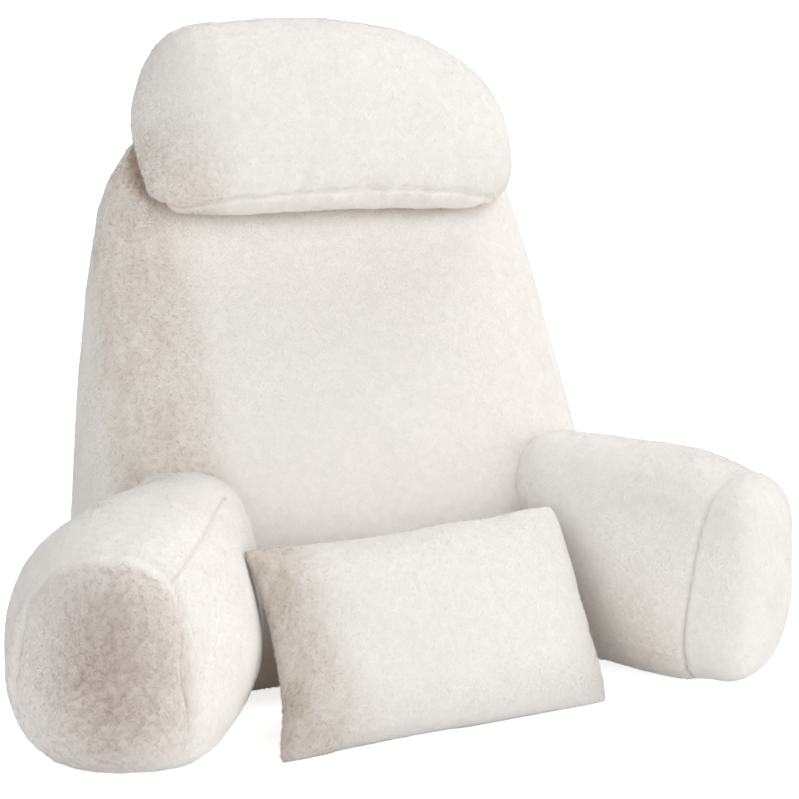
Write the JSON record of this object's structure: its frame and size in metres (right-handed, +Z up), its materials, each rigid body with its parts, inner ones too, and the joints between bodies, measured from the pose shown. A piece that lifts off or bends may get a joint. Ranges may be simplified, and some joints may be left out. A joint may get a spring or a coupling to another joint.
{
  "type": "reading pillow with arms",
  "caption": "Plush reading pillow: a leaning backrest with splayed stuffed arms, a half-moon neck pillow on its top and a loose lumbar pillow at its foot.",
  "frame": {"origin": "on the surface it stands on, under the middle of the bounding box", "axes": "+X towards the right of someone who looks at the front, -Y towards the front where the reader sits, +Z up"},
  "size_m": [0.845, 0.525, 0.6999],
  "materials": {
    "body_plush": "short warm white plush pile",
    "neck_plush": "short warm white plush pile",
    "lumbar_plush": "short warm white plush pile"
  },
  "bodies": {
    "root": {"backrest": "body_plush", "arm_left": "body_plush", "arm_right": "body_plush", "neck_pillow": "neck_plush", "lumbar_pillow": "lumbar_plush"}
  },
  "joints": []
}
